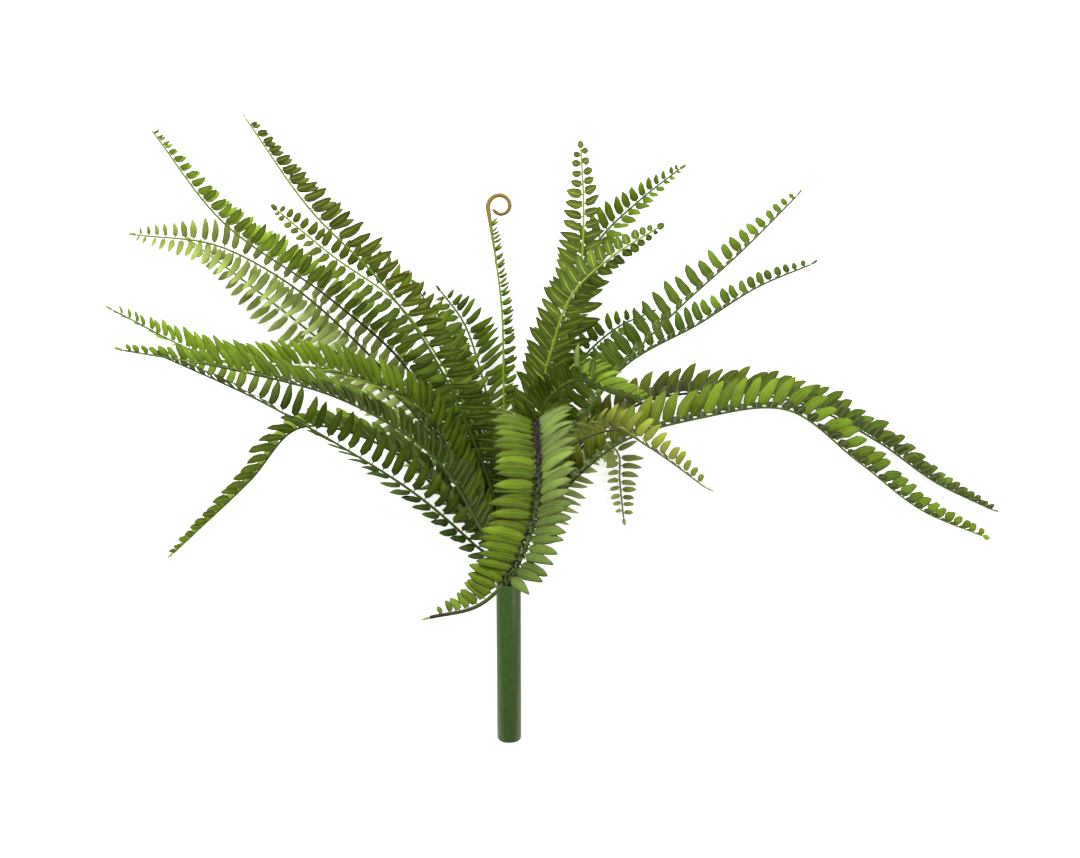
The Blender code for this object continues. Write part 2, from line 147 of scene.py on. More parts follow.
# Each frond, in millimetres and degrees. A pair of values is for its left and its right row of leaflets.
#   route              points from the mouth of the cup
#   roll               how its rows are rolled round the stalk, spread from base to tip
#   rests, curl        whether it lies on the table, and whether it ends in a curl
#   start              how far up the stalk its first leaflet stands
#   growth, longest    how fast its leaflets lengthen away from the tip, and how long they get
#   size, uneven       factors on the length of all of them, and of each row
#   pitch, tip_pitch   the spacing of its leaflets, and the spacing at its tip
#   right_ends         the share of its length where its right row ends
#   sweep, tip_sweep   how far its leaflets lean towards the tip, and how much more near the tip
#   fold               how far its rows are folded up from flat
#   wide, pointed      a factor on its leaflets' width, and whether the short ones stay narrow
#   stout, scales      a factor on its stalk's thickness, and the shares of its length that scales run between
#   stray              loose leaflets: how far up the stalk, which row (-1 is left), length and sweep
#   leaf, right_leaf   colours of its leaflets from base to tip, and of the right row where they differ
#   stalk, brown       colours of its stalk from base to tip, and how brown its leaflets' edges are
FRONDS = {
    "top_left": dict(
        route=[(-27, 116, 66), (-58, 180, 102), (-92, 226, 120), (-138, 273, 127), (-184, 338, 130)],
        roll=(-20, -20), growth=0.27, pitch=9.3, tip_pitch=7, sweep=-14, fold=56, wide=0.84,
        leaf=(DEEP, MID, OLIVE, MID), stalk=(STALK_GREEN, STALK_GREEN, STALK_LIME), brown=0.8,
    ),
    "long_left": dict(
        route=[(-39, 90, 11), (-80, 168, 16), (-132, 214, 21), (-216, 275, 30), (-264, 339, 44)],
        roll=(30, 30), growth=0.2, pitch=8.4, sweep=-8, fold=54, wide=0.85, pointed=True,
        leaf=(DEEP, MID, FRESH, LIME, LIME), stalk=(STALK_GREEN, STALK_BROWN, STALK_LIME), brown=0.35,
    ),
    "back_left_upper": dict(
        route=[(-52, 109, -24), (-112, 181, -25), (-173, 233, -20), (-222, 258, -15), (-283, 266, -13)],
        roll=(-35, -35), growth=0.23, size=1.15, fold=24, wide=0.85, pointed=True,
        leaf=(FRESH, MIST, MIST, PALE), stalk=(STALK_PLUM, STALK_PLUM, STALK_LIME), brown=0.1,
    ),
    "back_left_lower": dict(
        route=[(-60, 97, -42), (-99, 147, -50), (-145, 185, -51), (-192, 222, -50), (-245, 262, -50)],
        roll=(-40, -40), rests=True, growth=0.23, size=1.05, fold=24, wide=0.88,
        leaf=(FRESH, MIST, MIST, PALE), stalk=(STALK_PLUM, STALK_PLUM, STALK_LIME), brown=0.1,
    ),
    "inner_left": dict(
        route=[(-21, 109, 25), (-50, 168, 33), (-83, 212, 37), (-131, 247, 42), (-171, 280, 46)],
        roll=(-30, -30), growth=0.2, size=1.12, fold=30, wide=1.0,
        leaf=(DEEP, MID, MID, OLIVE), stalk=(STALK_GREEN, STALK_LIME, STALK_LIME), brown=0.3,
    ),
    "front_left_upper": dict(
        route=[(-27, 65, 42), (-62, 131, 70), (-119, 158, 80), (-213, 169, 79), (-286, 204, 83)],
        roll=(-60, -60), growth=0.2, pitch=6, sweep=42, wide=0.8, pointed=True,
        leaf=(MID, MOSS, FRESH, LIME), stalk=(STALK_PLUM, STALK_BROWN, STALK_GREEN), brown=0.3,
    ),
    "front_left_lower": dict(
        route=[(-20, 47, 58), (-54, 101, 115), (-115, 139, 146), (-183, 158, 158), (-266, 173, 160)],
        roll=(-10, -10, -25, -60, -65), growth=0.17, pitch=7, sweep=48, wide=0.9,
        leaf=(DEEP, MID, MOSS, FRESH), stalk=(STALK_GREEN, STALK_GREEN, STALK_BROWN), brown=0.15,
    ),
    "low_left": dict(
        route=[(-24, 31, 18), (-64, 67, 36), (-122, 105, 46), (-181, 138, 44), (-263, 175, 34)],
        roll=(-95, 10), start=20, growth=0.22, pitch=9.6, uneven=(1, 0.85), sweep=(8, 46),
        leaf=(MID, MID, MOSS, FRESH), right_leaf=(BLUISH, BLUISH, MID, MID), stalk=ALL_GREEN, brown=0.3,
    ),
    "hooked_left": dict(
        route=[(-36, 53, 8), (-81, 98, 14), (-156, 118, 8), (-196, 78, -16), (-260, 20, -42)],
        roll=(0, 0), rests=True, growth=0.14, pitch=10.4, tip_pitch=6.6, sweep=44, fold=(20, 60),
        wide=1.4,
        leaf=(DEEP, MID, LIME, LIME), right_leaf=(MID, FRESH, LIME, LIME),
        stalk=(STALK_GREEN, STALK_GREEN, STALK_LIME), brown=0.2,
    ),
    "fiddlehead": dict(
        route=[(-3, 87, 22), (-3, 149, 34), (-5, 212, 34), (-11, 257, 30), (-15, 283, 28)],
        roll=(65, 65), curl=True, start=130, growth=0.035, size=1.3, pitch=7.4, sweep=26, fold=66,
        wide=0.7, pointed=True,
        leaf=(MID, MID, MID, FRESH), stalk=(STALK_GREEN, STALK_LIME, STALK_LIME), brown=0.1,
    ),
    "upright_right": dict(
        route=[(13, 94, 25), (39, 179, 34), (54, 240, 34), (56, 287, 30), (54, 328, 26)],
        roll=(-125, -125), growth=0.19, size=1.3, pitch=9.4, tip_pitch=7.2, sweep=22, wide=1.15,
        leaf=(DEEP, MID, MID, OLIVE), stalk=(STALK_GREEN, STALK_LIME, STALK_LIME), brown=0.3,
    ),
    "back_upright": dict(
        route=[(16, 101, -26), (39, 193, -46), (70, 265, -50), (101, 295, -48), (132, 319, -46)],
        roll=(5, 5), rests=True, growth=0.24, sweep=22, wide=1.1, pointed=True,
        leaf=(DEEP, MID, MID, FRESH), stalk=ALL_GREEN, brown=0.1,
    ),
    "front_upright": dict(
        route=[(17, 102, 57), (30, 174, 88), (47, 217, 95), (74, 242, 94), (107, 263, 90)],
        roll=(-35, -35), growth=0.24, pitch=9, sweep=20, wide=1.25,
        leaf=(DEEP, MID, MID, MID), stalk=(STALK_LIME, STALK_LIME), brown=0.4,
    ),
    "upper_right": dict(
        route=[(31, 87, 30), (75, 154, 55), (126, 207, 65), (169, 246, 67), (211, 288, 68)],
        roll=(20, 20), growth=0.17, pitch=10.4, tip_pitch=6.6, wide=1.15,
        leaf=(DEEP, MID, MID, FRESH), stalk=ALL_GREEN, brown=0.2,
    ),
    "mid_right": dict(
        route=[(35, 83, 6), (84, 164, 12), (143, 198, 10), (188, 226, 10), (226, 242, 10)],
        roll=(-5, -5), growth=0.13, pitch=8.4, wide=1.15,
        leaf=(DEEP, MID, MID, MID), stalk=ALL_GREEN, brown=0.2,
    ),
    "front_short": dict(
        route=[(17, 87, 66), (32, 141, 115), (52, 152, 148), (75, 142, 174), (95, 138, 196)],
        roll=(5, 5), start=110, growth=0.4, pitch=4.2, sweep=46, wide=0.75, pointed=True,
        stray=((216, 1, 27, -10), (228, -1, 24, 20)),
        leaf=(OLIVE, MOSS, FRESH, FRESH), stalk=ALL_GREEN, brown=0.2,
    ),
    "arching_right": dict(
        route=[
            (31, 62, 50), (82, 108, 59), (140, 126, 63), (204, 132, 60),
            (258, 94, 46), (312, 55, 26), (356, 37, 16),
        ],
        roll=(55, 55), growth=0.13, size=1.15, pitch=10.2, uneven=(0.6, 1), sweep=(0, 38), fold=(60, 42),
        wide=1.35,
        leaf=(DEEP, DEEP, MID, MID), right_leaf=(OLIVE, OLIVE, FRESH, FRESH, FRESH),
        stalk=(STALK_BROWN, STALK_GREEN, STALK_LIME), brown=0.35,
    ),
    "back_arching_right": dict(
        route=[
            (39, 86, -12), (100, 137, -18), (160, 145, -20), (221, 137, -22),
            (283, 107, -28), (330, 75, -36), (374, 54, -42),
        ],
        roll=(-20, -20), rests=True, growth=0.17, size=1.1, pitch=10, sweep=(0, 38), wide=1.2,
        leaf=(DEEP, OLIVE, MID, MID), stalk=(STALK_PLUM, STALK_BROWN, STALK_GREEN), brown=0.5,
    ),
    "front_right_short": dict(
        route=[(28, 80, 64), (52, 109, 109), (80, 116, 128), (101, 104, 134), (140, 76, 131)],
        roll=(10, 10), start=80, growth=0.24, size=1.1, pitch=8.2, sweep=(-20, 6), fold=34,
        leaf=(DEEP, DEEP, STRAW, STRAW), stalk=(STALK_BROWN, STALK_BROWN, STALK_LIME), brown=0.3,
    ),
    "back_hanging": dict(
        route=[(28, 63, -28), (66, 109, -44), (83, 97, -50), (84, 78, -50), (87, 47, -50)],
        roll=(35, 75), rests=True, growth=0.17, pitch=6.6, tip_pitch=6, uneven=(1.1, 1.4), fold=25,
        wide=0.8,
        leaf=(MIST, MIST), stalk=(STALK_PALE, STALK_PALE), brown=0.1,
    ),
    "front_hanging": dict(
        route=[
            (8, 66, 75), (17, 109, 125), (20, 123, 155), (22, 103, 185),
            (21, 69, 200), (7, 24, 206), (-18, -2, 200), (-52, -11, 192),
        ],
        roll=(0, 0, 0, 0, 10, 75), start=120, growth=0.34, longest=28, pitch=5.4, tip_pitch=7.2,
        uneven=(1.14, 1), right_ends=0.84, sweep=(3, -24), tip_sweep=28, fold=20, wide=1.12, pointed=True,
        stout=1.9, scales=(0.36, 0.84),
        # painted sheen: the right row is coloured paler where light glances off it
        leaf=(MOSS, MOSS, MOSS, FRESH), right_leaf=(PAINTED_SHEEN, PAINTED_SHEEN),
        stalk=(STALK_BARK, STALK_BARK, STALK_BARK, STALK_BARK, STALK_GREEN, STALK_BROWN), brown=0.6,
    ),
    "back_short_left": dict(
        route=[(-9, 101, -24), (-22, 162, -40), (-36, 201, -45), (-53, 224, -47)],
        roll=(-15, -15), growth=0.5, size=1.25, pitch=6.4, wide=0.85, pointed=True,
        leaf=(DEEP, PLUM, MID, MID), stalk=ALL_GREEN, brown=0.4,
    ),
    "back_short_right": dict(
        route=[(24, 116, -8), (54, 169, -14), (85, 196, -16), (107, 206, -18)],
        roll=(25, 25), growth=0.5, size=0.9, wide=0.9, pointed=True,
        leaf=(DEEP, MID, MID, FRESH), stalk=ALL_GREEN, brown=0.3,
    ),
    "inner_back": dict(
        route=[(-14, 94, -2), (-30, 154, -10), (-52, 196, -16), (-71, 226, -20)],
        roll=(-35, -35), growth=0.2, size=0.92,
        leaf=(PLUM, PLUM, MID, OLIVE), stalk=ALL_GREEN, brown=0.4,
    ),
    "inner_front_left": dict(
        route=[(-20, 50, 23), (-49, 102, 42), (-82, 142, 48), (-115, 159, 48)],
        roll=(-20, -20), growth=0.2, size=0.8,
        leaf=(DEEP, DEEP, MID, MID), stalk=ALL_GREEN, brown=0.2,
    ),
}

# Where the stem stands, from its solid's box: it leans, and the lower rim of its cut end is on the table
stem_low, stem_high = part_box("stem")
STEM_RADIUS = (stem_high.x - stem_low.x) / 2
STEM_LENGTH = 132 * MM
STEM_CHAMFER = 1.5 * MM
CROWN_HEIGHT = 52 * MM
CUP_WALL = 1.5 * MM
CUP_FLOOR = 13 * MM
LIP_ROUNDING = 0.4 * MM
END_ROUNDING = 1.6 * MM


def stem_tilt():
    """The angle that brings the lower rim of the stem's cut end down to the table."""
    along = STEM_LENGTH - STEM_CHAMFER
    return math.asin(CROWN_HEIGHT / math.hypot(along, STEM_RADIUS)) - math.atan2(STEM_RADIUS, along)


TILT = stem_tilt()
STEM_AXIS = Vector((0, math.cos(TILT), math.sin(TILT)))
ACROSS = Vector((1, 0, 0))
OVER = ACROSS.cross(STEM_AXIS)
CROWN = Vector((
    (stem_low.x + stem_high.x) / 2,
    stem_high.y - STEM_RADIUS * math.sin(TILT),
    stem_high.z - STEM_RADIUS * math.cos(TILT),
))


# ---------------------------------------------------------------- routes

def route_points(frond):
    """The frond's route in metres."""
    return [Vector(point) * MM for point in frond["route"]]


def heading(frond):
    """The direction round the stem's axis in which the frond leaves, and how far it leans from the axis."""
    first = route_points(frond)[0]
    outward = first - STEM_AXIS * first.dot(STEM_AXIS)
    return math.atan2(outward.dot(OVER), outward.dot(ACROSS)), first.angle(STEM_AXIS)


def cup_places():
    """Deals the fronds to the rings of the cup, upright ones inside, and in order round each ring."""
    upright_first = sorted(FRONDS, key=lambda name: heading(FRONDS[name])[1])
    inner_count = RING_PLACES[0]
    middle_count = inner_count + RING_PLACES[1]
    rings = [
        upright_first[:inner_count],
        upright_first[inner_count:middle_count],
        upright_first[middle_count:],
    ]
    places = {}
    for ring, names in enumerate(rings):
        radius = STALK_PITCH * (INNER_RING + ring)
        names = sorted(names, key=lambda name: heading(FRONDS[name])[0])
        step = 2 * math.pi / len(names)
        turns = [heading(FRONDS[name])[0] - step * k for k, name in enumerate(names)]
        offset = math.atan2(sum(map(math.sin, turns)), sum(map(math.cos, turns)))
        for k, name in enumerate(names):
            angle = offset + step * k
            places[name] = (ACROSS * math.cos(angle) + OVER * math.sin(angle)) * radius
    return places


def smooth_route(points, first_direction):
    """A dense smooth line through the points that sets off in first_direction."""
    gaps = [(b - a).length for a, b in zip(points, points[1:])]
    slopes = [first_direction.normalized()]
    for k in range(1, len(points) - 1):
        before = (points[k] - points[k - 1]) / gaps[k - 1]
        after = (points[k + 1] - points[k]) / gaps[k]
        slopes.append((before * gaps[k] + after * gaps[k - 1]) / (gaps[k - 1] + gaps[k]))
    slopes.append((points[-1] - points[-2]) / gaps[-1])
    line = []
    steps = 24
    for k, gap in enumerate(gaps):
        for step in range(steps):
            t = step / steps
            line.append(
                points[k] * (2 * t**3 - 3 * t**2 + 1)
                + slopes[k] * gap * (t**3 - 2 * t**2 + t)
                + points[k + 1] * (3 * t**2 - 2 * t**3)
                + slopes[k + 1] * gap * (t**3 - t**2)
            )
    return line + [points[-1]]


def even_points(line, spacing):
    """Points at even distances along a dense line, and the distance of each from its start."""
    travelled = [0.0]
    for a, b in zip(line, line[1:]):
        travelled.append(travelled[-1] + (b - a).length)
    count = max(4, round(travelled[-1] / spacing))
    points, distances = [], []
    k = 0
    for station in range(count + 1):
        wanted = travelled[-1] * station / count
        while k < len(line) - 2 and travelled[k + 1] < wanted:
            k += 1
        share = (wanted - travelled[k]) / (travelled[k + 1] - travelled[k])
        points.append(line[k].lerp(line[k + 1], min(share, 1.0)))
        distances.append(wanted)
    return points, distances


def between(values, share):
    """The value at a share of the way through a row of evenly spread values."""
    place = min(max(share, 0), 0.9999) * (len(values) - 1)
    k = int(place)
    return values[k] + (values[k + 1] - values[k]) * (place - k)


def blade_frames(points, outward, roll):
    """For each point: directions along the stalk, across its two rows of leaflets, and out of their top."""
    ends = [points[0]] + points + [points[-1]]
    along = [(ends[k + 2] - ends[k]).normalized() for k in range(len(points))]
    across = STEM_AXIS.cross(outward)
    frames = []
    for k, forward in enumerate(along):
        across = (across - forward * across.dot(forward)).normalized()
        angle = math.radians(between(roll, k / (len(along) - 1)))
        up = forward.cross(across)
        side = across * math.cos(angle) + up * math.sin(angle)
        frames.append((forward, side, forward.cross(side)))
    return frames


def stalk_radius(look, share):
    """The stalk's radius at a share of its length from its base."""
    return (STALK_RADIUS + (STALK_TIP_RADIUS - STALK_RADIUS) * share) * look.get("stout", 1)


class Frond:
    """A frond's stations at even distances along its stalk, in the row frame, with a frame at each."""

    def __init__(self, name, place, sag):
        self.name = name
        self.look = FRONDS[name]
        self.place = place
        exit_point = place + STEM_AXIS * STALK_RISE
        points = [exit_point] + [place * 0.5 + point for point in route_points(self.look)]
        line = smooth_route(points, STEM_AXIS)
        whole = len(line) - 1
        line = [CROWN + point - Vector((0, 0, sag)) * (k / whole) ** 2 for k, point in enumerate(line)]
        self.points, self.distances = even_points(line, STALK_STEP)
        self.length = self.distances[-1]
        first = points[1] - exit_point
        outward = (first - STEM_AXIS * first.dot(STEM_AXIS)).normalized()
        self.frames = blade_frames(self.points, outward, self.look["roll"])

    def at(self, distance):
        """The point and the frame at a distance along the stalk."""
        place = min(max(distance / self.length, 0), 0.99999) * (len(self.points) - 1)
        k = int(place)
        point = self.points[k].lerp(self.points[k + 1], place - k)
        frame = [a.lerp(b, place - k).normalized() for a, b in zip(self.frames[k], self.frames[k + 1])]
        return point, frame

    def leaf_length(self, distance):
        """Leaflets lengthen from the tip towards the base, and shorten again at the base."""
        near_tip = TIP_LEAFLET + self.look.get("growth", GROWTH) * (self.length - distance)
        longest = self.look.get("longest", LONGEST) * MM
        start = self.look.get("start", FIRST_LEAFLET) * MM
        near_base = longest * min(1.0, BASE_SHARE + (1 - BASE_SHARE) * (distance - start) / BASE_TAPER)
        return min((near_tip**-6 + longest**-6) ** (-1 / 6), near_base) * self.look.get("size", 1)


def settled(name, place):
    """The frond, bent down at its tip to the height of its solid if it is one that rests on the table."""
    if not FRONDS[name].get("rests"):
        return Frond(name, place, 0)
    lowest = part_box(name + "_stalk")[0].z
    low, high = -80 * MM, 80 * MM
    for _ in range(16):
        sag = (low + high) / 2
        frond = Frond(name, place, sag)
        if min(point.z for point in frond.points) - STALK_TIP_RADIUS > lowest:
            low = sag
        else:
            high = sag
    return frond


def blend_colours(colours, share):
    """The colour at a share of the way through a row of colours."""
    return between([Vector(colour) for colour in colours], share)


# ---------------------------------------------------------------- leaflets

# A leaflet's rows of corners from its foot to its point, its width at each when it is long or short, and
# the row with its ear, which is wider on the side of the frond's tip
ROWS_AT = (0.0, 0.06, 0.14, 0.34, 0.58, 0.78, 0.92, 1.0)
LONG_WIDTHS = (0.10, 0.12, 0.82, 1.0, 0.94, 0.70, 0.36, 0.04)
SHORT_WIDTHS = (0.12, 0.15, 0.66, 0.98, 1.0, 0.86, 0.58, 0.14)
EAR_ROW = 2
HALF_THICKNESS = 0.2 * MM
SHORT_BELOW = 14 * MM
SHORT_RANGE = 7 * MM
FULL_DROOP = 24 * MM

# Corners nearer to the table than this are pressed flat on it
TABLE_GAP = 0.9 * MM


def leaflet_blank():
    """A flat leaflet of unit size, with an upper and a lower sheet that meet at its outline."""
    blank = bmesh.new()
    uv = blank.loops.layers.uv.new("leaf_uv")
    underside = blank.faces.layers.float.new("underside")
    bmesh.ops.create_grid(blank, x_segments=len(ROWS_AT) - 1, y_segments=4, size=0.5)
    for vert in blank.verts:
        row = round((vert.co.x + 0.5) * (len(ROWS_AT) - 1))
        vert.co.x = row
        vert.co.y *= 2
    for face in blank.faces:
        face.smooth = True
        for loop in face.loops:
            loop[uv].uv = (ROWS_AT[round(loop.vert.co.x)], loop.vert.co.y / 2 + 0.5)
    copied = bmesh.ops.duplicate(blank, geom=blank.faces[:])
    lower = [item for item in copied["geom"] if isinstance(item, bmesh.types.BMFace)]
    bmesh.ops.reverse_faces(blank, faces=lower)
    for face in lower:
        face[underside] = 1.0
    for vert in blank.verts:
        inside = 0 < vert.co.x < len(ROWS_AT) - 1 and abs(vert.co.y) < 0.9
        below = any(face[underside] for face in vert.link_faces)
        vert.co.z = (-1 if below else 1) if inside else 0
    bmesh.ops.remove_doubles(blank, verts=blank.verts[:], dist=0.001)
    for edge in blank.edges:
        if len({face[underside] for face in edge.link_faces}) == 2:
            edge.smooth = False
    mesh = bpy.data.meshes.new("leaflet_blank")
    blank.to_mesh(mesh)
    blank.free()
    return mesh


def for_row(value, side):
    """The row's own value, where a value is a pair for the left row and the right one."""
    return value[side > 0] if isinstance(value, tuple) else value


def leaflet_width(length, short, look):
    """A leaflet's greatest width: a short one is rounder, and a long one slimmer."""
    return min((0.42 + 0.18 * short) * length, 4.9 * MM + 0.08 * length) * look.get("wide", 1)


def bent_spine(root, outward, forward, normal, length, sweep, bend, droop, twist, ripple):
    """The points down a leaflet's middle, and for each: directions ahead, across and out of its top."""
    spine, frames = [], []
    point = root.copy()
    for k, at in enumerate(ROWS_AT):
        if k:
            point = point + frames[-1][0] * (at - ROWS_AT[k - 1]) * length
        turn = sweep + bend * (2 * at - 0.6)
        fall = droop * (at * at * 1.4 - 0.25)
        slant = twist * (1 - 0.6 * at) + 0.12 * math.sin(at * 7 + ripple * 3)
        level = outward * math.cos(turn) + forward * math.sin(turn)
        flat = forward * math.cos(turn) - outward * math.sin(turn)
        ahead = level * math.cos(fall) - normal * math.sin(fall)
        raised = normal * math.cos(fall) + level * math.sin(fall)
        wide = flat * math.cos(slant) - raised * math.sin(slant)
        face = raised * math.cos(slant) + flat * math.sin(slant)
        spine.append(point)
        frames.append((ahead, wide, face))
    return spine, frames


def lay_leaflet(verts, root, frame, side, length, share, look, chance, layers, colour, browning):
    """Moves a blank leaflet's corners to where it grows: side is -1 in the left row, 1 in the right."""
    forward, across, up = frame
    short = 0.0 if look.get("pointed") else min(1.0, max(0.0, (SHORT_BELOW - length) / SHORT_RANGE))
    fold = math.radians(for_row(look.get("fold", FOLD), side) + chance.uniform(-5, 5))
    outward = across * side * math.cos(fold) + up * math.sin(fold)
    normal = up * math.cos(fold) - across * side * math.sin(fold)
    width = leaflet_width(length, short, look) * chance.uniform(0.92, 1.06)
    lean = for_row(look.get("sweep", SWEEP), side) + look.get("tip_sweep", 0) * max(0.0, 3 * share - 2)
    sweep = math.radians(lean + chance.uniform(-6, 6))
    bend = math.radians(chance.uniform(4, 15)) * (1 - 0.5 * short)
    droop = math.radians(chance.uniform(12, 34)) * min(1, length / FULL_DROOP)
    twist = math.radians(chance.uniform(-8, 16))
    ripple = chance.uniform(-1, 1)
    spine, frames = bent_spine(root, outward, forward, normal, length, sweep, bend, droop, twist, ripple)
    wobble = [[chance.uniform(0.84, 1.12) for _ in ROWS_AT] for _ in range(2)]
    shade = 1 + 0.22 * chance.uniform(-1, 1)
    colour = colour.lerp(Vector(chance.choice((OLIVE, MID, LIME))), chance.uniform(0, 0.3))
    colour_layer, browning_layer = layers
    for vert in verts:
        row, across_share, layer = round(vert.co.x), vert.co.y, vert.co.z
        wide, face = frames[row][1:]
        reach = (LONG_WIDTHS[row] * (1 - short) + SHORT_WIDTHS[row] * short) * width / 2
        reach *= wobble[across_share > 0][row]
        if row == EAR_ROW:
            reach *= 1.18 if across_share > 0 else 0.86
        camber = 0.34 * reach * abs(across_share) * (1 - 1.25 * abs(across_share))
        lift = layer * HALF_THICKNESS * (1.5 if abs(across_share) < 0.1 else 0.8)
        vert.co = spine[row] + wide * across_share * reach + face * (camber + lift)
        if vert.co.z < TABLE_GAP:
            vert.co.z = TABLE_GAP + (vert.co.z - TABLE_GAP) * 0.08
        vert[colour_layer] = (*(colour * shade * (0.72 + 0.42 * ROWS_AT[row])), 1)
        vert[browning_layer] = browning


def make_leaflets(frond, blank, material, chance):
    """Both rows of one frond's leaflets, its loose ones, and the small one at its tip."""
    look = frond.look
    rows = bmesh.new()
    rows.loops.layers.uv.new("leaf_uv")
    rows.faces.layers.float.new("underside")
    layers = rows.verts.layers.float_color.new("leaf_colour"), rows.verts.layers.float.new("browning")

    def add(place, frame, side, length, root, look=look):
        before = len(rows.verts)
        rows.from_mesh(blank)
        rows.verts.ensure_lookup_table()
        share = place / frond.length
        colours = look["right_leaf"] if side > 0 and "right_leaf" in look else look["leaf"]
        lay_leaflet(
            rows.verts[before:], root, frame, side, length, share, look, chance, layers,
            blend_colours(colours, share), look["brown"] * (0.4 + 0.6 * share),
        )

    pitch = look.get("pitch", PITCH)
    tip_pitch = look.get("tip_pitch", min(pitch, TIP_PITCH))
    place = look.get("start", FIRST_LEAFLET) * MM
    end = frond.length - (BARE_BELOW_CURL if look.get("curl") else BARE_TIP)
    while place < end:
        for side in (-1, 1):
            lag = RIGHT_ROW_LAG if side > 0 else 0
            here = min(end, place + chance.uniform(-0.5, 0.5) * MM + lag)
            point, frame = frond.at(here)
            radius = stalk_radius(look, here / frond.length)
            root = point + (frame[1] * side * 0.7 + frame[2] * 0.4) * radius
            length = frond.leaf_length(here) * for_row(look.get("uneven", 1), side)
            if side < 0 or here < frond.length * look.get("right_ends", 1):
                add(here, frame, side, length * chance.uniform(0.9, 1.06), root)
        near_tip = max(0.0, 1 - (frond.length - place) / SPARSE_TIP)
        place += (pitch + (tip_pitch - pitch) * near_tip) * MM
    for distance, side, length, sweep in look.get("stray", ()):
        point, frame = frond.at(distance * MM)
        # loose leaflets blend from pale mist green into the painted sheen colour
        loose = dict(look, sweep=sweep, fold=STRAY_FOLD, leaf=(MIST, PAINTED_SHEEN), wide=1)
        add(distance * MM, frame, side, length * MM, point, loose)
    if not look.get("curl"):
        forward, across, up = frond.frames[-1]
        flat = dict(look, fold=8, sweep=0)
        add(frond.length, (across, forward, up), 1, TIP_LEAFLET * 1.3, frond.points[-1], flat)
    bmesh.ops.recalc_face_normals(rows, faces=rows.faces[:])
    mesh = bpy.data.meshes.new(frond.name + "_fine_leaflets")
    rows.to_mesh(mesh)
    rows.free()
    mesh.materials.append(material)
    return stand_for(bpy.data.objects.new(mesh.name, mesh), frond.name + "_leaflets")


# ---------------------------------------------------------------- stalks and stem

def add_scales(tube, look, points, stretch, colour, size, chance):
    """Small pointed scales that stand off a stretch of the stalk in all directions."""
    colour_layer = tube.verts.layers.float_color["stalk_colour"]
    for k in range(*stretch):
        for _ in range(SCALES_PER_STEP):
            step = points[k + 1] - points[k]
            turn = chance.uniform(0, 2 * math.pi)
            forward = step.normalized()
            side = forward.orthogonal().normalized()
            out = side * math.cos(turn) + forward.cross(side) * math.sin(turn)
            lean = (out * chance.uniform(0.5, 1.1) + forward * chance.uniform(-0.3, 1.0)).normalized()
            length = size * chance.uniform(0.6, 1.3)
            made = bmesh.ops.create_cone(
                tube, segments=3, radius1=size * 0.32, radius2=size * 0.05, depth=length, cap_ends=True
            )
            foot = points[k] + step * chance.random() + out * stalk_radius(look, 0.5) * 0.5
            turned = lean.to_track_quat("Z", "Y").to_matrix()
            shade = chance.uniform(0.6, 1.5)
            for vert in made["verts"]:
                vert.co = foot + turned @ (vert.co + Vector((0, 0, length / 2)))
                vert[colour_layer] = (*(Vector(colour) * shade), 1)


def curled_end(frond):
    """Points of the young frond's curl, which winds in from the tip towards its leafy side."""
    forward, across, inward = frond.frames[-1]
    centre = frond.points[-1] + inward * CURL_RADIUS
    turn = []
    for k in range(1, CURL_POINTS + 1):
        share = k / CURL_POINTS
        angle = share * CURL_TURNS * 2 * math.pi
        radius = CURL_RADIUS * (1 + (CURL_END_SHARE - 1) * share)
        turn.append(centre - inward * radius * math.cos(angle) + forward * radius * math.sin(angle))
    return turn


def stalk_radii(frond, curl):
    """The stalk's radius in the cup, then up its length, where it swells into a curl if it has one."""
    radii = [STALK_RADIUS, STALK_RADIUS]
    radii += [stalk_radius(frond.look, distance / frond.length) for distance in frond.distances]
    if curl:
        swelling = 9
        last = len(radii)
        for k in range(swelling):
            share = (k + 1) / swelling
            radii[last - swelling + k] = radii[last - swelling + k] * (1 - share) + CURL_THICKNESS * share
    return radii + [CURL_THICKNESS * (1 - 0.35 * k / len(curl)) for k in range(len(curl))]


def swept_tube(name, points, radii):
    """A round tube along the points, closed at both ends."""
    data = bpy.data.curves.new(name, "CURVE")
    data.dimensions = "3D"
    data.bevel_depth = 1.0
    data.bevel_resolution = 2
    data.use_fill_caps = True
    spline = data.splines.new("POLY")
    spline.points.add(len(points) - 1)
    for knot, point, radius in zip(spline.points, points, radii):
        knot.co = (*point, 1)
        knot.radius = radius
    guide = bpy.data.objects.new(name, data)
    bpy.context.scene.collection.objects.link(guide)
    bpy.context.view_layer.update()
    mesh = bpy.data.meshes.new_from_object(guide.evaluated_get(bpy.context.evaluated_depsgraph_get()))
    bpy.data.objects.remove(guide)
    return mesh


def colour_stalk(tube, look, points, green_count):
    """Colours a stalk along its points: its own colours up to green_count of them, then ripe brown."""
    colour_layer = tube.verts.layers.float_color.new("stalk_colour")
    for vert in tube.verts:
        nearest = min(range(len(points)), key=lambda k: (points[k] - vert.co).length_squared)
        colour = blend_colours(look["stalk"], nearest / green_count)
        if look.get("curl"):
            ripe = min(1.0, max(0.0, (nearest - green_count + 16) / 14))
            colour = colour.lerp(Vector(STALK_RIPE), ripe)
        vert[colour_layer] = (*colour, 1)


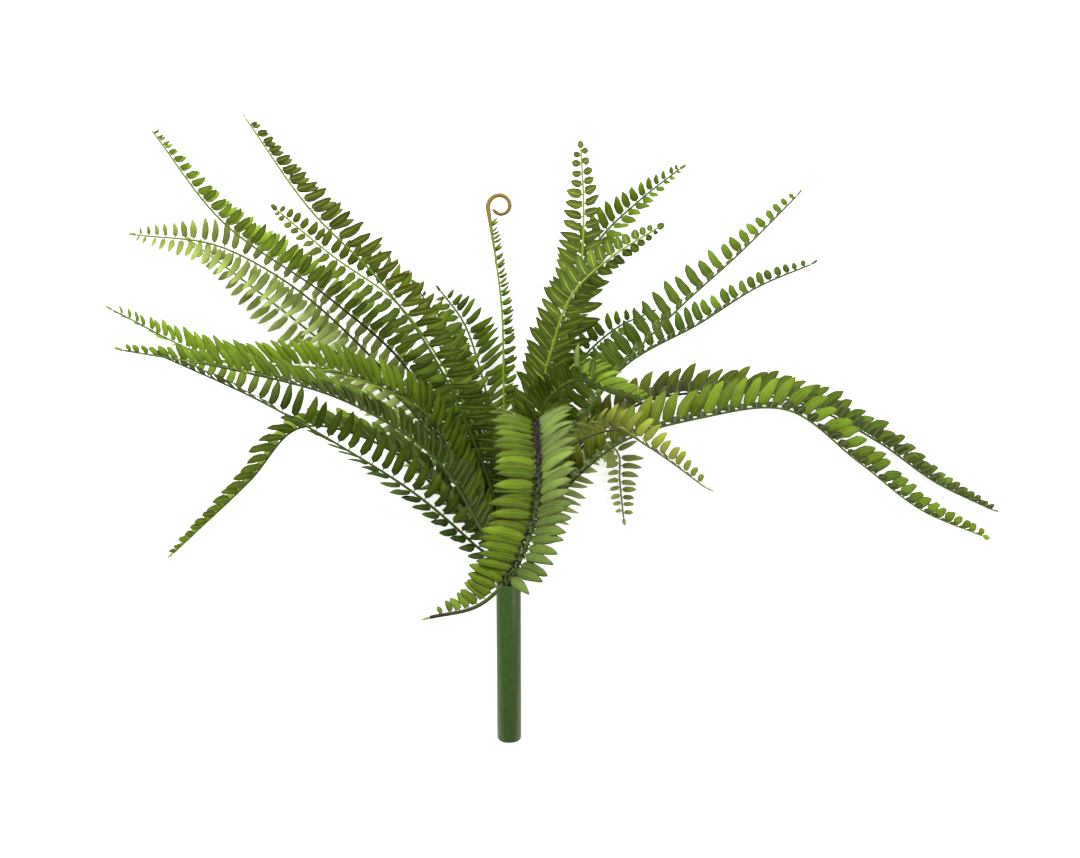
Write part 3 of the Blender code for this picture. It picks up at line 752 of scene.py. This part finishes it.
def make_stalk(frond, material, chance):
    """A tapered stalk from the bottom of the cup to the tip, with its colours and scales."""
    look = frond.look
    curl = curled_end(frond) if look.get("curl") else []
    foot = CROWN + frond.place - STEM_AXIS * STALK_FOOT
    points = [foot, CROWN + frond.place] + frond.points + curl
    green_count = len(points) - len(curl)
    mesh = swept_tube(frond.name, points, stalk_radii(frond, curl))
    mesh.name = frond.name + "_fine_stalk"
    tube = bmesh.new()
    tube.from_mesh(mesh)
    bmesh.ops.remove_doubles(tube, verts=tube.verts[:], dist=0.01 * MM)
    bmesh.ops.recalc_face_normals(tube, faces=tube.faces[:])
    colour_stalk(tube, look, points, green_count)
    for face in tube.faces:
        face.smooth = True
    if "scales" in look:
        stretch = [round(share * len(frond.points)) + 2 for share in look["scales"]]
        add_scales(tube, look, points, stretch, STALK_BARK, SCALE_SIZE, chance)
    if curl:
        stretch = (green_count - 12, len(points) - 1)
        add_scales(tube, look, points, stretch, CURL_SCALES, CURL_SCALE_SIZE, chance)
    tube.to_mesh(mesh)
    tube.free()
    mesh.materials.clear()
    mesh.materials.append(material)
    return stand_for(bpy.data.objects.new(mesh.name, mesh), frond.name + "_stalk")


def make_stem(material):
    """The plain stem: a round tube with a softly broken lower rim and a cup in its top."""
    tube = bmesh.new()
    rings = [
        (STEM_RADIUS - CUP_WALL, -CUP_FLOOR),
        (STEM_RADIUS - CUP_WALL, 0),
        (STEM_RADIUS - LIP_ROUNDING, 0),
        (STEM_RADIUS, -LIP_ROUNDING),
        (STEM_RADIUS, -STEM_LENGTH + END_ROUNDING),
        (STEM_RADIUS - 0.5 * MM, -STEM_LENGTH + 0.45 * MM),
        (STEM_RADIUS - END_ROUNDING, -STEM_LENGTH),
    ]
    made = bmesh.ops.create_circle(tube, segments=64, radius=rings[0][0], cap_ends=True)
    edges = tube.edges[:]
    for vert in made["verts"]:
        vert.co.z = rings[0][1]
    radius = rings[0][0]
    for next_radius, height in rings[1:]:
        grown = bmesh.ops.extrude_edge_only(tube, edges=edges)
        edges = [item for item in grown["geom"] if isinstance(item, bmesh.types.BMEdge)]
        for vert in {vert for edge in edges for vert in edge.verts}:
            vert.co.x *= next_radius / radius
            vert.co.y *= next_radius / radius
            vert.co.z = height
        radius = next_radius
    bmesh.ops.contextual_create(tube, geom=edges)
    bmesh.ops.recalc_face_normals(tube, faces=tube.faces[:])
    for face in tube.faces:
        face.smooth = len(face.verts) == 4
    turn = STEM_AXIS.to_track_quat("Z", "Y").to_matrix()
    bmesh.ops.rotate(tube, verts=tube.verts[:], matrix=turn)
    bmesh.ops.translate(tube, verts=tube.verts[:], vec=CROWN)
    mesh = bpy.data.meshes.new("smooth_stem")
    tube.to_mesh(mesh)
    tube.free()
    mesh.set_sharp_from_angle(angle=math.radians(50))
    mesh.materials.append(material)
    return stand_for(bpy.data.objects.new("smooth_stem", mesh), "stem")


def stand_for(piece, node):
    """Links a finished piece, lets it ride on the plant and stand for its solid."""
    bpy.context.scene.collection.objects.link(piece)
    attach(piece, "root")
    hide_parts(node)
    return piece


# ---------------------------------------------------------------- materials

class Nodes:
    """Short names for adding and joining a material's nodes."""

    def __init__(self, name):
        self.material = bpy.data.materials.new(name)
        self.material.use_nodes = True
        self.tree = self.material.node_tree
        self.shader = self.tree.nodes["Principled BSDF"]

    def add(self, kind, **settings):
        node = self.tree.nodes.new(kind)
        for key, value in settings.items():
            setattr(node, key, value)
        return node

    def join(self, source, target):
        self.tree.links.new(source, target)

    def math(self, operation, *values, clamp=False):
        node = self.add("ShaderNodeMath", operation=operation, use_clamp=clamp)
        for socket, value in zip(node.inputs, values):
            if isinstance(value, (int, float)):
                socket.default_value = value
            else:
                self.join(value, socket)
        return node.outputs[0]

    def ramp(self, value, low, high, out_low=0.0, out_high=1.0):
        node = self.add("ShaderNodeMapRange", interpolation_type="SMOOTHSTEP")
        self.join(value, node.inputs["Value"])
        limits = {"From Min": low, "From Max": high, "To Min": out_low, "To Max": out_high}
        for name, limit in limits.items():
            node.inputs[name].default_value = limit
        return node.outputs["Result"]

    def mix(self, factor, first, second, blend="MIX"):
        node = self.add("ShaderNodeMix", data_type="RGBA", blend_type=blend)
        colours = [socket for socket in node.inputs if socket.type == "RGBA"]
        for socket, value in zip([node.inputs[0]] + colours, (factor, first, second)):
            if isinstance(value, tuple):
                socket.default_value = (*value, 1)
            elif isinstance(value, float):
                socket.default_value = value
            else:
                self.join(value, socket)
        return next(socket for socket in node.outputs if socket.type == "RGBA")


def leaf_material():
    """Satin moulded leaf: a pale midrib, fine slanting veins, and edges that turn brown."""
    n = Nodes("leaf_plastic")
    uv = n.add("ShaderNodeUVMap", uv_map="leaf_uv")
    parts = n.add("ShaderNodeSeparateXYZ")
    n.join(uv.outputs[0], parts.inputs[0])
    along, across = parts.outputs[0], parts.outputs[1]
    off_middle = n.math("MULTIPLY", n.math("ABSOLUTE", n.math("SUBTRACT", across, 0.5)), 2.0)
    colour = n.add("ShaderNodeAttribute", attribute_name="leaf_colour").outputs["Color"]
    under = n.add("ShaderNodeAttribute", attribute_name="underside").outputs["Fac"]
    browning = n.add("ShaderNodeAttribute", attribute_name="browning").outputs["Fac"]
    place = n.add("ShaderNodeTexCoord").outputs["Object"]
    patches = n.add("ShaderNodeTexNoise")
    n.join(place, patches.inputs["Vector"])
    patches.inputs["Scale"].default_value = 90
    patches.inputs["Detail"].default_value = 3
    patchy = patches.outputs["Fac"]
    # veins
    lean = n.math("SUBTRACT", off_middle, n.math("MULTIPLY", along, 0.4))
    wave = n.math("SINE", n.math("MULTIPLY", lean, 26.0))
    vein = n.ramp(wave, 0.1, 1.0)
    colour = n.mix(n.math("MULTIPLY", vein, 0.35), colour, (1.5, 1.5, 1.3), "MULTIPLY")
    colour = n.mix(n.ramp(patchy, 0.35, 0.7, 0.0, 0.35), colour, (0.35, 0.40, 0.2), "MULTIPLY")
    # underside
    dull = n.mix(0.3, colour, UNDERSIDE)
    colour = n.mix(n.math("MULTIPLY", under, 0.7), colour, dull)
    # darker, then brown edges
    colour = n.mix(n.ramp(off_middle, 0.72, 0.98, 0.0, 0.6), colour, (0.4, 0.4, 0.3), "MULTIPLY")
    rim = n.ramp(n.math("ADD", off_middle, n.math("MULTIPLY", patchy, 0.35)), 0.78, 1.12)
    tip = n.ramp(along, 0.86, 1.0)
    worn = n.math("MULTIPLY", n.math("MAXIMUM", rim, tip), browning, clamp=True)
    colour = n.mix(worn, colour, EDGE_BROWN)
    # midrib, and painted shade in the groove beside it
    rib_line = n.ramp(off_middle, 0.06, 0.2, 1.0, 0.0)
    rib_fade = n.ramp(along, 0.6, 1.0, 1.0, 0.25)
    rib = n.math("MULTIPLY", rib_line, rib_fade)
    beside = n.ramp(off_middle, 0.15, 0.45, 1.0, 0.0)
    painted_groove_shade = n.math("MULTIPLY", beside, n.math("SUBTRACT", 1.0, rib_line))
    # painted shade: the strip beside the pale midrib is darkened
    colour = n.mix(n.math("MULTIPLY", painted_groove_shade, 0.2), colour, (0.45, 0.5, 0.4), "MULTIPLY")
    strength = n.math("ADD", n.math("MULTIPLY", under, 0.35), 0.12)
    colour = n.mix(n.math("MULTIPLY", rib, strength), colour, RIB_PALE)
    n.join(colour, n.shader.inputs["Base Color"])
    rough = n.math("ADD", n.math("MULTIPLY", patchy, 0.12), n.math("MULTIPLY", under, 0.12))
    n.join(n.math("ADD", rough, 0.4), n.shader.inputs["Roughness"])
    n.shader.inputs["Specular IOR Level"].default_value = 0.1
    bump = n.add("ShaderNodeBump")
    bump.inputs["Strength"].default_value = 0.55
    bump.inputs["Distance"].default_value = 0.00025
    height = n.math("ADD", n.math("MULTIPLY", vein, -0.6), n.math("MULTIPLY", rib, 0.9))
    n.join(height, bump.inputs["Height"])
    n.join(bump.outputs[0], n.shader.inputs["Normal"])
    return n.material


def stalk_material():
    """Wire in soft plastic: its colour runs along it, with faint specks."""
    n = Nodes("stalk_plastic")
    colour = n.add("ShaderNodeAttribute", attribute_name="stalk_colour").outputs["Color"]
    place = n.add("ShaderNodeTexCoord").outputs["Object"]
    specks = n.add("ShaderNodeTexNoise")
    n.join(place, specks.inputs["Vector"])
    specks.inputs["Scale"].default_value = 420
    specks.inputs["Detail"].default_value = 2
    speckled = n.ramp(specks.outputs["Fac"], 0.45, 0.75, 0.0, 0.5)
    colour = n.mix(speckled, colour, (0.45, 0.38, 0.3), "MULTIPLY")
    n.join(colour, n.shader.inputs["Base Color"])
    n.join(n.ramp(specks.outputs["Fac"], 0.3, 0.7, 0.5, 0.68), n.shader.inputs["Roughness"])
    n.shader.inputs["Specular IOR Level"].default_value = 0.2
    bump = n.add("ShaderNodeBump")
    bump.inputs["Strength"].default_value = 0.4
    bump.inputs["Distance"].default_value = 0.0003
    n.join(specks.outputs["Fac"], bump.inputs["Height"])
    n.join(bump.outputs[0], n.shader.inputs["Normal"])
    return n.material


def stem_material():
    """Smooth green tube with faint streaks drawn along it, and painted shade darkening it down its right
    side.
    """
    n = Nodes("stem_plastic")
    place = n.add("ShaderNodeTexCoord").outputs["Object"]
    stretch = n.add("ShaderNodeMapping")
    n.join(place, stretch.inputs["Vector"])
    stretch.inputs["Scale"].default_value = (420, 9, 420)
    streaks = n.add("ShaderNodeTexNoise")
    n.join(stretch.outputs[0], streaks.inputs["Vector"])
    streaks.inputs["Scale"].default_value = 1.0
    streaks.inputs["Detail"].default_value = 2
    parts = n.add("ShaderNodeSeparateXYZ")
    n.join(place, parts.inputs[0])
    east = n.math("SUBTRACT", parts.outputs[0], CROWN.x)
    # painted shade: the colour turns to STEM_SHADED down the stem's right side
    painted_right_shade = n.ramp(east, -0.002, 0.007)
    colour = n.mix(painted_right_shade, STEM_GREEN, STEM_SHADED)
    colour = n.mix(n.ramp(streaks.outputs["Fac"], 0.35, 0.65, 0.0, 0.5), colour, STEM_STREAK)
    n.join(colour, n.shader.inputs["Base Color"])
    n.join(n.ramp(streaks.outputs["Fac"], 0.3, 0.7, 0.34, 0.46), n.shader.inputs["Roughness"])
    n.shader.inputs["Specular IOR Level"].default_value = 0.28
    return n.material


def table_material():
    """A plain white table top that lights itself a little, so that it stays pale under the plant."""
    n = Nodes("pale_table")
    grain = n.add("ShaderNodeTexNoise")
    grain.inputs["Scale"].default_value = 30
    n.join(n.add("ShaderNodeTexCoord").outputs["Object"], grain.inputs["Vector"])
    colour = n.mix(grain.outputs["Fac"], (0.79, 0.79, 0.79), (0.82, 0.82, 0.82))
    n.join(colour, n.shader.inputs["Base Color"])
    n.shader.inputs["Emission Color"].default_value = (1, 1, 1, 1)
    n.shader.inputs["Emission Strength"].default_value = 0.66
    n.shader.inputs["Roughness"].default_value = 0.9
    n.shader.inputs["Specular IOR Level"].default_value = 0.1
    return n.material


# ---------------------------------------------------------------- table, light and camera

def make_table():
    """A wide flat table top at the height of the floor."""
    data = bpy.data.meshes.new("table")
    top = bmesh.new()
    bmesh.ops.create_grid(top, x_segments=1, y_segments=1, size=3)
    top.to_mesh(data)
    top.free()
    data.materials.append(table_material())
    table = bpy.data.objects.new("table", data)
    bpy.context.scene.collection.objects.link(table)


def add_softbox(name, location, size, power, target):
    """A square soft light that points at the target."""
    data = bpy.data.lights.new(name, "AREA")
    data.shape = "SQUARE"
    data.size = size
    data.energy = power
    light = bpy.data.objects.new(name, data)
    light.location = location
    light.rotation_euler = (Vector(target) - Vector(location)).to_track_quat("-Z", "Y").to_euler()
    bpy.context.scene.collection.objects.link(light)


def add_lights():
    """A strong softbox from the top left, a weak one from the right, and an even white studio."""
    add_softbox("softbox_above", (-0.6, 1.5, 1.5), 0.9, 60, (0, 0, 0.1))
    add_softbox("softbox_right", (1.5, 0.3, 1.3), 1.0, 18, (0, 0, 0.1))
    world = bpy.data.worlds.new("studio")
    world.use_nodes = True
    world.node_tree.nodes["Background"].inputs["Color"].default_value = (1, 1, 1, 1)
    world.node_tree.nodes["Background"].inputs["Strength"].default_value = 0.36
    bpy.context.scene.world = world
    bpy.context.scene.view_settings.view_transform = "Standard"


def add_camera():
    """Straight above the bush, looking down, with the stem pointing to the bottom."""
    height = 1.9
    seen_width = 0.8245
    sensor_width = 36
    from_crown = Vector((0.024, 0.117, height))
    data = bpy.data.cameras.new("camera")
    data.sensor_width = sensor_width
    data.lens = sensor_width * height / seen_width
    data.clip_end = 20
    camera = bpy.data.objects.new("camera", data)
    camera.location = CROWN + from_crown
    bpy.context.scene.collection.objects.link(camera)
    bpy.context.scene.camera = camera


# ---------------------------------------------------------------- the bush

def main():
    """Makes the stem, then each frond's stalk and leaflets, then the studio."""
    leaf = leaf_material()
    stalk = stalk_material()
    make_stem(stem_material())
    blank = leaflet_blank()
    places = cup_places()
    for number, name in enumerate(FRONDS):
        frond = settled(name, places[name])
        make_stalk(frond, stalk, random.Random(500 + number))
        make_leaflets(frond, blank, leaf, random.Random(100 + number))
    make_table()
    add_lights()
    add_camera()


main()
